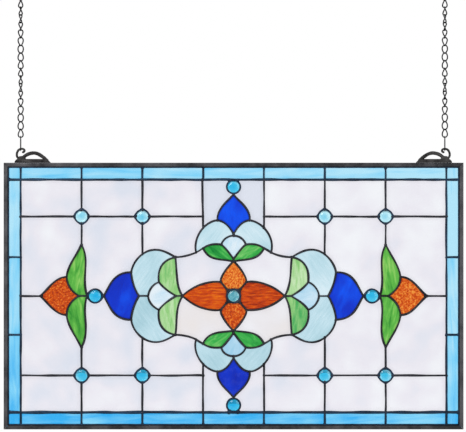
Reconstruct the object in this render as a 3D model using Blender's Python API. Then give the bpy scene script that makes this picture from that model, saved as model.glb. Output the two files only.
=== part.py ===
import bpy
import bmesh
import math
from mathutils import Matrix, Vector
from mathutils.geometry import interpolate_bezier

flatAngle = 0.0005

# The framed panel
panelWidth = 0.8788
panelHeight = 0.5096
frameFace = 0.0100
frameDepth = 0.012
frameWall = 0.003
frameChamfer = 0.0012
glassThickness = 0.003
gap = 0.0003

# The lead lines between the panes
leadWidth = 0.0044
leadDepth = 0.0056
stripStep = 0.00015
borderInset = 0.0323
columns = 7

# The round glass gems
beadRadius = 0.0100
beadFront = 0.0048
beadSides = 10
crownReach = 0.62
crownRise = 0.85
topBeadGap = 0.0011
flameTipGap = 0.0018
centreBlockMargin = 0.0010

# Places in the drawing's own units, counted from the panel's centre
drawnLineX = 407.4
drawnFlameTip = 194.2
drawnSideBead = 265.2
drawnStem = 370.5
drawnRow = 151.0
drawnBorderRow = 74.0

# Cast hangers on the top rail
hangerInset = 0.0204
hangerLength = 0.0690
hangerDepth = 0.009
archDepth = 0.0075
scrollDepth = 0.0050
scrollStroke = 0.0042
archStroke = 0.0060
strokeSides = 6

# Hanger outlines in units from the outer end of the base and the top of the frame
drawnHangerLength = 69.0
drawnScrollPeak = 26.1
drawnChain = 12.5
hangerBase = [(0, 0), (1.5, 4.5), (5, 6.7), (7.5, 11.0), (18.5, 12.4), (21.5, 6.7), (62, 6.7), (69, 0)]
hangerScroll = [
    (15, 19.6), (18, 20.8), (19, 23.6), (16.4, 26), (12, 26.2), (7.4, 23.8), (4.6, 18), (4.8, 12),
    (8, 7.5), (12, 4),
]
hangerArch = [(14, 4), (17, 10), (25.5, 16.5), (36, 19), (45, 17.2), (55, 11), (63.5, 3)]

# Chains
linkCount = 19
linkCorners = 6
linkLength = 0.0182
linkWidth = 0.0115
linkWire = 0.0021
linkOverlap = 0.0006
linkTwist = math.radians(-90)
chainTurn = math.radians(18.4)
chainStart = math.radians(-19.3)
loopWire = 0.0016
loopLength = 0.0297
loopWidth = 0.0160
ringRadius = 0.0110
ringWire = 0.0026
ringSides = 6
wireSides = 4
ovalCorners = 12

for old in list(bpy.data.objects):
    bpy.data.objects.remove(old)

# Everything is drawn about the panel's centre, then lowered so that the rings' centres are at height 0
lineX = panelWidth / 2 - borderInset
lineZ = panelHeight / 2 - borderInset
columnPitch = 2 * lineX / columns
columnLines = [columnPitch * (index + 0.5) for index in range(columns // 2)]
lipX = panelWidth / 2 - frameFace
lipZ = panelHeight / 2 - frameFace
ringLine = beadRadius + gap + leadWidth / 2
topBead = lineZ - ringLine - topBeadGap
unitX = lineX / drawnLineX
unitZ = (topBead - ringLine - flameTipGap) / drawnFlameTip
sideBead = drawnSideBead * unitX
stemStart = drawnStem * unitX
rowLine = drawnRow * unitZ
borderRowLine = drawnBorderRow * unitZ
centreBlock = ringLine + centreBlockMargin
hangerOuter = panelWidth / 2 - hangerInset
hangerUnit = hangerLength / drawnHangerLength
chainX = hangerOuter - drawnChain * hangerUnit

scene = bpy.context.scene
partCollection = bpy.data.collections.new("stained_glass_panel")
scene.collection.children.link(partCollection)
cutterCollection = bpy.data.collections.new("cutters")
scene.collection.children.link(cutterCollection)

finishes = {
    "frame_metal": ((0.075, 0.082, 0.088), 0.45, 0.8),
    "lead": ((0.018, 0.020, 0.026), 0.40, 0.8),
    "cast_metal": ((0.070, 0.072, 0.076), 0.55, 0.7),
    "chain_metal": ((0.090, 0.092, 0.096), 0.40, 0.9),
    "border_blue_glass": ((0.28, 0.74, 1.0), 0.08, 0.0),
    "clear_glass": ((0.80, 0.82, 0.87), 0.06, 0.0),
    "orange_glass": ((0.80, 0.12, 0.01), 0.10, 0.0),
    "green_glass": ((0.10, 0.45, 0.08), 0.10, 0.0),
    "light_green_glass": ((0.32, 0.62, 0.20), 0.10, 0.0),
    "cobalt_glass": ((0.0, 0.035, 0.75), 0.06, 0.0),
    "aqua_glass": ((0.47, 0.74, 0.80), 0.08, 0.0),
    "ice_glass": ((0.66, 0.84, 0.95), 0.08, 0.0),
    "turquoise_glass": ((0.09, 0.55, 0.76), 0.06, 0.0),
}


def makeMaterial(name):
    colour, roughness, metallic = finishes[name]
    material = bpy.data.materials.new(name)
    material.use_nodes = True
    shader = material.node_tree.nodes["Principled BSDF"]
    shader.inputs["Base Color"].default_value = (*colour, 1.0)
    shader.inputs["Roughness"].default_value = roughness
    shader.inputs["Metallic"].default_value = metallic
    material.diffuse_color = (*colour, 1.0)
    return material


materials = {name: makeMaterial(name) for name in finishes}


def addObject(name, mesh, finish=None):
    item = bpy.data.objects.new(name, mesh)
    if finish is None:
        cutterCollection.objects.link(item)
        item.hide_render = True
        item.display_type = "WIRE"
    else:
        partCollection.objects.link(item)
        mesh.materials.clear()
        mesh.materials.append(materials[finish])
    return item


# Curves: each line is a run of points from one bezier piece

def bend(start, handleA, handleB, end, steps):
    ends = [Vector((p[0] * unitX, p[1] * unitZ, 0.0)) for p in (start, handleA, handleB, end)]
    return [Vector((p.x, p.y)) for p in interpolate_bezier(*ends, steps + 1)]


def back(points):
    return list(reversed(points))


def flip(points, signX, signZ):
    return [Vector((p.x * signX, p.y * signZ)) for p in points]


def join(*runs):
    loop = []
    for run in runs:
        for point in run:
            if not loop or (point - loop[-1]).length > 1e-6:
                loop.append(point)
    if (loop[0] - loop[-1]).length < 1e-6:
        loop.pop()
    return loop


def circle(x, z, radius, sides, startTurn=0.0):
    return [
        Vector((
            x + radius * math.cos(startTurn + 2 * math.pi * index / sides),
            z + radius * math.sin(startTurn + 2 * math.pi * index / sides),
        ))
        for index in range(sides)
    ]


def rectangle(lowX, highX, lowZ, highZ):
    return [Vector((lowX, lowZ)), Vector((highX, lowZ)), Vector((highX, highZ)), Vector((lowX, highZ))]


def area(loop):
    return sum(a.x * b.y - b.x * a.y for a, b in zip(loop, loop[1:] + loop[:1])) / 2


# Moves every side of a loop inwards. A side that the move turns round is left out.
def inset(loop, distance):
    if area(loop) < 0:
        loop = back(loop)
    sides = []
    for a, b in zip(loop, loop[1:] + loop[:1]):
        along = (b - a).normalized()
        sides.append((a + Vector((-along.y, along.x)) * distance, along))
    while len(sides) > 2:
        corners = []
        for (pointA, alongA), (pointB, alongB) in zip(sides[-1:] + sides[:-1], sides):
            cross = alongA.x * alongB.y - alongA.y * alongB.x
            if abs(cross) < 1e-4:
                corners.append(pointB)
                continue
            offset = pointB - pointA
            corners.append(pointA + alongA * ((offset.x * alongB.y - offset.y * alongB.x) / cross))
        runs = [(b - a).dot(side[1]) for a, b, side in zip(corners, corners[1:] + corners[:1], sides)]
        shortest = min(runs)
        if shortest > 1e-5:
            return corners
        sides.pop(runs.index(shortest))
    return corners


# A flat plate cut to outlines in the X-Z plane. Loops inside loops are holes.
def plateMesh(name, loops, depth, middleY=0.0):
    curve = bpy.data.curves.new(name, "CURVE")
    curve.dimensions = "2D"
    curve.fill_mode = "BOTH"
    curve.extrude = depth / 2
    for loop in loops:
        spline = curve.splines.new("POLY")
        spline.points.add(len(loop) - 1)
        for point, corner in zip(spline.points, loop):
            point.co = (corner.x, corner.y, 0.0, 1.0)
        spline.use_cyclic_u = True
    holder = addObject(name + "_outline", curve)
    evaluated = holder.evaluated_get(bpy.context.evaluated_depsgraph_get())
    mesh = bpy.data.meshes.new_from_object(evaluated)
    bpy.data.objects.remove(holder)
    mesh.name = name
    mesh.transform(Matrix.Translation((0, middleY, 0)) @ Matrix.Rotation(math.pi / 2, 4, "X"))
    cleanMesh(mesh)
    return mesh


def cleanMesh(mesh):
    work = bmesh.new()
    work.from_mesh(mesh)
    bmesh.ops.remove_doubles(work, verts=work.verts, dist=0.00001)
    bmesh.ops.dissolve_limit(work, angle_limit=flatAngle, verts=work.verts, edges=work.edges)
    bmesh.ops.triangulate(work, faces=work.faces)
    bmesh.ops.recalc_face_normals(work, faces=work.faces)
    work.to_mesh(mesh)
    work.free()


# A bar swept along points. With a centre given the run is closed round it.
def tubeMesh(name, points, width, depth, sides, centre=None):
    count = len(points)
    closed = centre is not None
    work = bmesh.new()
    rings = []
    for index, point in enumerate(points):
        before = points[(index - 1) % count] if closed or index > 0 else point
        after = points[(index + 1) % count] if closed or index < count - 1 else point
        along = (after - before).normalized()
        guide = point - centre if closed else Vector((0, 1, 0))
        upward = (guide - along * guide.dot(along)).normalized()
        across = along.cross(upward)
        ring = []
        for step in range(sides):
            turn = 2 * math.pi * (step + 0.5) / sides
            shift = across * (width / 2 * math.cos(turn)) + upward * (depth / 2 * math.sin(turn))
            ring.append(work.verts.new(point + shift / math.cos(math.pi / sides)))
        rings.append(ring)
    spans = count if closed else count - 1
    for index in range(spans):
        ringA = rings[index]
        ringB = rings[(index + 1) % count]
        for step in range(sides):
            following = (step + 1) % sides
            work.faces.new((ringA[step], ringA[following], ringB[following], ringB[step]))
    if not closed:
        work.faces.new(rings[0])
        work.faces.new(back(rings[-1]))
    bmesh.ops.recalc_face_normals(work, faces=work.faces)
    mesh = bpy.data.meshes.new(name)
    work.to_mesh(mesh)
    work.free()
    return mesh


def boxMesh(name, low, high):
    work = bmesh.new()
    middle = (Vector(low) + Vector(high)) / 2
    size = Vector(high) - Vector(low)
    bmesh.ops.create_cube(work, size=1.0, matrix=Matrix.Translation(middle) @ Matrix.Diagonal((*size, 1.0)))
    mesh = bpy.data.meshes.new(name)
    work.to_mesh(mesh)
    work.free()
    return mesh


def joinMeshes(name, meshes):
    work = bmesh.new()
    for mesh in meshes:
        work.from_mesh(mesh)
    joined = bpy.data.meshes.new(name)
    work.to_mesh(joined)
    work.free()
    return joined


def unite(item, mesh):
    cutter = addObject(item.name + "_added", mesh)
    step = item.modifiers.new("unite", "BOOLEAN")
    step.operation = "UNION"
    step.solver = "EXACT"
    step.object = cutter
    evaluated = item.evaluated_get(bpy.context.evaluated_depsgraph_get())
    united = bpy.data.meshes.new_from_object(evaluated)
    item.modifiers.clear()
    item.data = united
    bpy.data.objects.remove(cutter)
    cleanMesh(united)


# Lines of the drawing, for the quarter with x and z above 0, in the drawing's units
orangeEdge = bend((370.5, 0), (354, 13), (343, 36), (320, 36.5), 3)
outerLeafUpper = bend((291.5, 98.5), (300, 78), (317, 60), (319.6, 36.5), 3)
outerLeafLower = bend((319.6, 36.5), (319, 20), (309, 8), (296, 0), 3)
outerLeafInner = bend((291.5, 98.5), (273, 68), (292, 33), (280.3, 0), 4)
flameOuter = bend((248.5, 0), (235, 25), (229, 46), (196.3, 46), 4)
flameInner = bend((196.3, 46), (195, 30), (189, 14), (181, 0), 3)
petalOuter = join(
    bend((196.3, 46), (193, 68), (173, 89), (150, 88.9), 4),
    bend((150, 88.9), (135, 89), (123, 81), (111.3, 74), 2),
)
lensArc = bend((163.6, 0), (162, 12), (154, 22), (143, 26.5), 3)
innerLeafOuter = bend((111.3, 74), (136, 70), (146, 51), (143, 26.5), 4)
innerLeafLower = bend((143, 26.5), (135, 15), (122, 7), (110, 0), 2)
innerLeafInner = bend((111.3, 74), (108, 49), (114, 22), (98, 0), 4)
shoulder = bend((111.3, 74), (98, 74), (84, 77), (71.9, 83), 3)
topLeafTip = bend((71.9, 83), (68, 85.5), (63.5, 88.5), (58.5, 91), 1)
topLeafUpper = bend((58.5, 91), (48, 99), (35, 100), (23.3, 98.3), 3)
topLeafInner = bend((23.3, 98.3), (14, 91), (7, 80), (0, 71), 2)
topLeafLower = bend((58.5, 91), (46, 65), (23, 71), (0, 66), 4)
topPetalOuter = join(
    bend((71.9, 83), (76, 102), (67, 121), (53.5, 133.5), 4),
    bend((53.5, 133.5), (47, 139), (39, 144), (30.8, 144.3), 2),
)
topPetalInner = bend((30.8, 144.3), (16, 143), (7, 130), (0, 118.3), 3)
topLensArc = bend((23.3, 98.3), (22, 109), (11, 117), (0, 116.4), 3)
topFlame = join(
    bend((30.8, 144.3), (33, 154), (29, 163), (23.1, 171), 3),
    bend((23.1, 171), (17, 180), (7, 186), (0, 194.2), 2),
)
flowerTopEdge = bend((0, 66), (8, 62), (28, 36), (24.6, 27), 4)
flowerSideEdge = bend((98, 0), (79, 19), (52, 30), (24.6, 27), 4)
blockCorner = Vector((centreBlock, centreBlock))
flowerCorner = [flowerSideEdge[-1], blockCorner]
beadArc = circle(sideBead, 0, ringLine, beadSides)[:beadSides // 2 + 1]
topBeadArc = circle(0, topBead, ringLine, beadSides, -math.pi / 2)[:beadSides // 2 + 1]

names = {1: "right", -1: "left"}
levels = {1: "upper", -1: "lower"}
ends = {1: "top", -1: "bottom"}

panes = []


def addPane(name, finish, loop):
    panes.append((name, finish, loop))


for side in (-1, 1):
    halfOrange = flip(join(orangeEdge, outerLeafLower), side, 1)
    addPane("side_tip_" + names[side], "orange_glass", join(halfOrange, back(flip(halfOrange, 1, -1))))
    halfFlame = flip(join(flameOuter, flameInner), side, 1)
    addPane("side_flame_" + names[side], "cobalt_glass", join(halfFlame, back(flip(halfFlame, 1, -1))))
    halfLens = flip(join(lensArc, innerLeafLower), side, 1)
    addPane("side_lens_" + names[side], "ice_glass", join(halfLens, back(flip(halfLens, 1, -1))))
    halfFlower = flip(join(flowerSideEdge, flowerCorner), side, 1)
    addPane("flower_" + names[side], "orange_glass", join(halfFlower, back(flip(halfFlower, 1, -1))))
    for level in (-1, 1):
        place = levels[level] + "_" + names[side]
        outerLeaf = join(outerLeafUpper, outerLeafLower, back(outerLeafInner))
        addPane("outer_leaf_" + place, "green_glass", flip(outerLeaf, side, level))
        sidePetal = join(petalOuter, innerLeafOuter, back(lensArc), back(flameInner))
        addPane("side_petal_" + place, "aqua_glass", flip(sidePetal, side, level))
        innerLeaf = join(innerLeafOuter, innerLeafLower, back(innerLeafInner))
        addPane("inner_leaf_" + place, "light_green_glass", flip(innerLeaf, side, level))
        place = ends[level] + "_" + names[side]
        endPetal = join(topPetalOuter, topPetalInner, back(topLensArc), back(topLeafUpper), back(topLeafTip))
        addPane("petal_" + place, "aqua_glass", flip(endPetal, side, level))
        endLeaf = join(topLeafUpper, topLeafInner, back(topLeafLower))
        addPane("leaf_" + place, "green_glass", flip(endLeaf, side, level))
for level in (-1, 1):
    halfFlame = flip(join(topFlame[::-1], topPetalInner), 1, level)
    addPane("flame_" + ends[level], "cobalt_glass", join(halfFlame, back(flip(halfFlame, -1, 1))))
    halfLens = flip(join(back(topLensArc), topLeafInner), 1, level)
    addPane("lens_" + ends[level], "ice_glass", join(halfLens, back(flip(halfLens, -1, 1))))
    halfFlower = flip(join(flowerTopEdge, flowerCorner), 1, level)
    addPane("flower_" + ends[level], "orange_glass", join(halfFlower, back(flip(halfFlower, -1, 1))))

beads = [("bead_centre", 0.0, 0.0)]
for side in (-1, 1):
    beads.append(("bead_" + names[side], side * sideBead, 0.0))
    beads.append(("bead_" + ends[side], 0.0, side * topBead))
    for level in (-1, 1):
        for column, label in ((1, "inner"), (2, "outer")):
            place = levels[level] + "_" + names[side] + "_" + label
            beads.append(("bead_" + place, side * columnLines[column], level * rowLine))

# The clear glass on each side of the middle, as one outline
upperClear = join(
    orangeEdge, back(outerLeafUpper), outerLeafInner, beadArc, flameOuter, petalOuter, innerLeafInner,
    flowerSideEdge, back(flowerTopEdge), back(topLeafLower), back(topLeafTip), topPetalOuter, topFlame,
    topBeadArc, [Vector((0, lineZ)), Vector((lineX, lineZ))],
)
clearLoop = join(upperClear, back(flip(upperClear, 1, -1)))

halfLead = leadWidth / 2
paneInset = halfLead + gap


def makePlate(name, finish, loops, depth, middleY=0.0):
    return addObject(name, plateMesh(name, loops, depth, middleY), finish)


def makeFrame():
    outerFront = frameDepth / 2
    groove = glassThickness / 2 + gap
    section = [
        (frameChamfer, -outerFront), (frameFace, -outerFront), (frameFace, -groove), (frameWall, -groove),
        (frameWall, groove), (frameFace, groove), (frameFace, outerFront), (frameChamfer, outerFront),
        (0, outerFront - frameChamfer), (0, frameChamfer - outerFront),
    ]
    work = bmesh.new()
    corners = []
    for signX, signZ in ((1, 1), (-1, 1), (-1, -1), (1, -1)):
        corners.append([
            work.verts.new((signX * (panelWidth / 2 - inward), y, signZ * (panelHeight / 2 - inward)))
            for inward, y in section
        ])
    for index in range(4):
        for step in range(len(section)):
            following = (step + 1) % len(section)
            nextCorner = corners[(index + 1) % 4]
            corner = corners[index]
            work.faces.new((corner[step], corner[following], nextCorner[following], nextCorner[step]))
    bmesh.ops.recalc_face_normals(work, faces=work.faces)
    mesh = bpy.data.meshes.new("frame")
    work.to_mesh(mesh)
    work.free()
    return addObject("frame", mesh, "frame_metal")


def makeLeading():
    loops = [rectangle(-lineX - halfLead, lineX + halfLead, -lineZ - halfLead, lineZ + halfLead)]
    for side in (-1, 1):
        loops.append(flip(inset(clearLoop, halfLead), side, 1))
    for name, finish, loop in panes:
        loops.append(inset(loop, halfLead))
    for name, x, z in beads:
        loops.append(circle(x, z, beadRadius + gap, beadSides))
        if abs(z) == rowLine:
            loops.append(circle(x, z, ringLine + halfLead, beadSides))
    leading = makePlate("leading", "lead", loops, leadDepth)

    # Bars over the seams of the joined panes, at the front and the back
    inner = glassThickness / 2 + gap
    halfLevelBar = halfLead - stripStep
    stemEnd = stemStart - leadWidth
    leafTip = outerLeafUpper[0].y - leadWidth
    petalTop = max(p.y for p in petalOuter) - leadWidth
    endPetalTop = min(p.y for p in topPetalOuter if p.x < columnLines[0] + leadWidth)
    uprights = []
    levelBars = []
    shoulders = []
    for face in (-1, 1):
        for side in (-1, 1):
            for level in (-1, 1):
                runs = [
                    (columnLines[0], endPetalTop, lipZ - gap),
                    (columnLines[1], rowLine + ringLine, lipZ - gap),
                    (columnLines[1], petalTop, rowLine - ringLine),
                    (columnLines[2], rowLine + ringLine, lipZ - gap),
                    (columnLines[2], leafTip, rowLine - ringLine),
                    (lineX, lineZ, lipZ - gap),
                ]
                outer = leadDepth / 2 - stripStep
                for x, low, high in runs:
                    corners = [(side * (x - halfLead), face * inner, level * low)]
                    corners.append((side * (x + halfLead), face * outer, level * high))
                    uprights.append(barMesh(corners))
                runs = [
                    (rowLine, columnLines[0], columnLines[1] - ringLine),
                    (rowLine, columnLines[1] + ringLine, columnLines[2] - ringLine),
                    (rowLine, columnLines[2] + ringLine, lineX),
                    (borderRowLine, lineX, lipX - gap),
                    (lineZ, lineX, lipX - gap),
                ]
                outer = leadDepth / 2 - 2 * stripStep
                for z, low, high in runs:
                    corners = [(side * low, face * inner, level * (z - halfLevelBar))]
                    corners.append((side * high, face * outer, level * (z + halfLevelBar)))
                    levelBars.append(barMesh(corners))
                strip = []
                for index, point in enumerate(shoulder):
                    before = shoulder[max(index - 1, 0)]
                    after = shoulder[min(index + 1, len(shoulder) - 1)]
                    along = (after - before).normalized()
                    strip.append((point, Vector((-along.y, along.x)) * halfLead))
                outline = [p + shift for p, shift in strip] + back([p - shift for p, shift in strip])
                middleY = face * (inner + outer) / 2
                shoulders.append(plateMesh("shoulder", [flip(outline, side, level)], outer - inner, middleY))
            stem = [(side * stemEnd, face * inner, -halfLead), (side * lineX, face * outer, halfLead)]
            levelBars.append(barMesh(stem))
    unite(leading, joinMeshes("uprights", uprights))
    unite(leading, joinMeshes("level_bars", levelBars))
    unite(leading, joinMeshes("shoulders", shoulders))
    return leading


def barMesh(corners):
    low = [min(a, b) for a, b in zip(*corners)]
    high = [max(a, b) for a, b in zip(*corners)]
    return boxMesh("bar", low, high)


def makeGlass():
    edgeX = panelWidth / 2 - frameWall - gap
    edgeZ = panelHeight / 2 - frameWall - gap
    outer = rectangle(-edgeX, edgeX, -edgeZ, edgeZ)
    innerX = lineX + paneInset
    innerZ = lineZ + paneInset
    inner = rectangle(-innerX, innerX, -innerZ, innerZ)
    makePlate("border_glass", "border_blue_glass", [outer, inner], glassThickness)
    for side in (-1, 1):
        loops = [flip(inset(clearLoop, paneInset), side, 1)]
        for name, x, z in beads:
            if abs(z) == rowLine and x * side > 0:
                loops.append(circle(x, z, ringLine + paneInset, beadSides))
        makePlate("clear_glass_" + names[side], "clear_glass", loops, glassThickness)
    for name, finish, loop in panes:
        makePlate(name, finish, [inset(loop, paneInset)], glassThickness)


# A gem with a flat back and a domed front
def makeBead(name, x, z):
    backY = glassThickness / 2
    profile = [(beadRadius, backY), (beadRadius, -backY), (beadRadius * crownReach, -beadFront * crownRise)]
    work = bmesh.new()
    rings = []
    for radius, y in profile:
        rings.append([work.verts.new((p.x, y, p.y)) for p in circle(x, z, radius, beadSides)])
    crown = work.verts.new((x, -beadFront, z))
    work.faces.new(rings[0])
    for index in range(beadSides):
        following = (index + 1) % beadSides
        for ringA, ringB in zip(rings, rings[1:]):
            work.faces.new((ringA[index], ringA[following], ringB[following], ringB[index]))
        work.faces.new((rings[-1][index], rings[-1][following], crown))
    bmesh.ops.recalc_face_normals(work, faces=work.faces)
    for face in work.faces:
        face.smooth = len(face.verts) == 3
    mesh = bpy.data.meshes.new(name)
    work.to_mesh(mesh)
    work.free()
    addObject(name, mesh, "turquoise_glass")


def hangerPoint(side, inward, height):
    x = side * (hangerOuter - inward * hangerUnit)
    return Vector((x, 0, panelHeight / 2 + gap + height * hangerUnit))


def makeHanger(side):
    outline = [Vector((hangerPoint(side, *p).x, hangerPoint(side, *p).z)) for p in hangerBase]
    hanger = makePlate("hanger_" + names[side], "cast_metal", [outline], hangerDepth)
    strokes = (
        ("scroll", hangerScroll, scrollStroke, scrollDepth),
        ("arch", hangerArch, archStroke, archDepth),
    )
    for label, run, stroke, depth in strokes:
        points = [hangerPoint(side, inward, height) for inward, height in run]
        unite(hanger, tubeMesh(label, points, stroke, depth, strokeSides))


def linkMesh(middleZ, turn):
    halfWidth = (linkWidth - linkWire) / 2
    halfLength = (linkLength - linkWire) / 2
    points = []
    cornerTurn = 2 * math.pi / linkCorners
    for index in range(linkCorners):
        angle = cornerTurn * index
        reach = halfWidth * math.cos(angle)
        rise = math.sin(angle) / math.sin(cornerTurn)
        heading = turn + linkTwist / 2 * rise
        z = middleZ + halfLength * rise
        points.append(Vector((reach * math.cos(heading), reach * math.sin(heading), z)))
    return tubeMesh("link", points, linkWire, linkWire, wireSides, Vector((0, 0, middleZ)))


# An oval with flats at its four ends
def ovalPoints(x, middleZ, halfWidth, halfLength, upright):
    points = []
    flatRatio = math.cos(math.pi / ovalCorners)
    for index in range(ovalCorners):
        angle = 2 * math.pi * (index + 0.5) / ovalCorners
        reach = halfWidth * math.cos(angle) / flatRatio
        height = middleZ + halfLength * math.sin(angle) / flatRatio
        points.append(Vector((x, reach, height)) if upright else Vector((x + reach, 0, height)))
    return points


# The wire loop hangs through the scroll, the chain from the loop up, and the ring ends it
scrollTop = panelHeight / 2 + gap + drawnScrollPeak * hangerUnit + scrollStroke / 2
loopBottom = scrollTop - scrollStroke - 2 * gap - loopWire
loopMiddle = loopBottom + loopLength / 2
loopTop = loopBottom + loopLength
firstLink = loopTop - loopWire - 2 * gap - linkWire + linkLength / 2
linkPitch = linkLength - 2 * linkWire + linkOverlap
chainTop = firstLink + linkPitch * (linkCount - 1) + linkLength / 2
ringCentre = chainTop - linkWire - 2 * gap - ringWire + ringRadius


def makeChain(side):
    x = side * chainX
    links = []
    for index in range(linkCount):
        links.append(linkMesh(firstLink + linkPitch * index, chainStart + chainTurn * index))
    for mesh in links:
        mesh.transform(Matrix.Translation((x, 0, 0)))
    chain = addObject("chain_" + names[side], joinMeshes("chain_" + names[side], links[0::2]), "chain_metal")
    unite(chain, joinMeshes("between", links[1::2]))
    loopReach = (loopWidth - loopWire) / 2
    loopRise = (loopLength - loopWire) / 2
    loopPoints = ovalPoints(x, loopMiddle, loopReach, loopRise, True)
    mesh = tubeMesh("loop", loopPoints, loopWire, loopWire, wireSides, Vector((x, 0, loopMiddle)))
    addObject("wire_loop_" + names[side], mesh, "chain_metal")
    reach = ringRadius - ringWire / 2
    ringPoints = ovalPoints(x, ringCentre, reach, reach, False)
    mesh = tubeMesh("ring", ringPoints, ringWire, ringWire, ringSides, Vector((x, 0, ringCentre)))
    addObject("end_ring_" + names[side], mesh, "chain_metal")


makeFrame()
makeLeading()
makeGlass()
for name, x, z in beads:
    makeBead(name, x, z)
for side in (-1, 1):
    makeHanger(side)
    makeChain(side)

for item in partCollection.objects:
    item.data.transform(Matrix.Translation((0, 0, -ringCentre)))
    item.data.name = item.name
    if item.name.startswith(("chain_", "wire_loop_", "end_ring_")):
        item.data.polygons.foreach_set("use_smooth", [True] * len(item.data.polygons))
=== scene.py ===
import random
from math import copysign, cos, inf, pi, radians, sin

import bmesh
import bpy
from mathutils import Matrix, Vector
from mathutils.geometry import delaunay_2d_cdt, interpolate_bezier
from mathutils.noise import noise


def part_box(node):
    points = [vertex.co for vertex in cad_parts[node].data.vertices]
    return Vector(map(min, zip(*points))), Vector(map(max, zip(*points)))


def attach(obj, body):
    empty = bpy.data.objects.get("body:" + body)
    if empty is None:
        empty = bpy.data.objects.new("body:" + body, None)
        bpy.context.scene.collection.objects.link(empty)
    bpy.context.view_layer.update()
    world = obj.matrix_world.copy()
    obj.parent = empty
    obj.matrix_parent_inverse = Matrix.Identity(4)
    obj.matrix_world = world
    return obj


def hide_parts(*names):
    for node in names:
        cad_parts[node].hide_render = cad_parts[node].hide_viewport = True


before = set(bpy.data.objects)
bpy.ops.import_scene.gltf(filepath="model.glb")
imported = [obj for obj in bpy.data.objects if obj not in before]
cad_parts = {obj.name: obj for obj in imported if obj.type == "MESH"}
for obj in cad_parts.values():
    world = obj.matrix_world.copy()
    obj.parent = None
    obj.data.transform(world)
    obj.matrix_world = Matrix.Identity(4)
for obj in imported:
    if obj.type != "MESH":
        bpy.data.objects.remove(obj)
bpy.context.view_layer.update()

mm = 0.001
frameLow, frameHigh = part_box("frame")
# The middle of the frame, which is the panel's centre
middle = Vector(((frameLow.x + frameHigh.x) / 2, 0.0, (frameLow.z + frameHigh.z) / 2))
random.seed(4127)

# Sizes are in millimetres and places are measured from the panel's centre, x to the right and z upward
panel = {
    "width": 878.8,
    "height": 509.6,
    "columns": (58.16, 174.47, 290.79, 407.1),   # uprights on each side, the last one along the border
    "borderZ": 222.5,              # the lines between the clear glass and the blue border
    "row": 152.0,
    "sideRow": 74.15,              # the crossings in the border at the sides
    "stemStart": 370.2,            # the short line beyond each side's tip
    "stemOverlap": 4.0,
    "sideBead": 265.0,
    "topBead": 208.9,
    "centreBlock": 13.5,
    "glassThickness": 3.0,
    "stretch": (0.9993, 1.0021),   # from the drawing of the flowers below to the panel
}

sideNames = {1: "right", -1: "left"}
levelNames = {1: "upper", -1: "lower"}
endNames = {1: "top", -1: "bottom"}
quarters = [(side, level) for level in (1, -1) for side in (-1, 1)]

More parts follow.
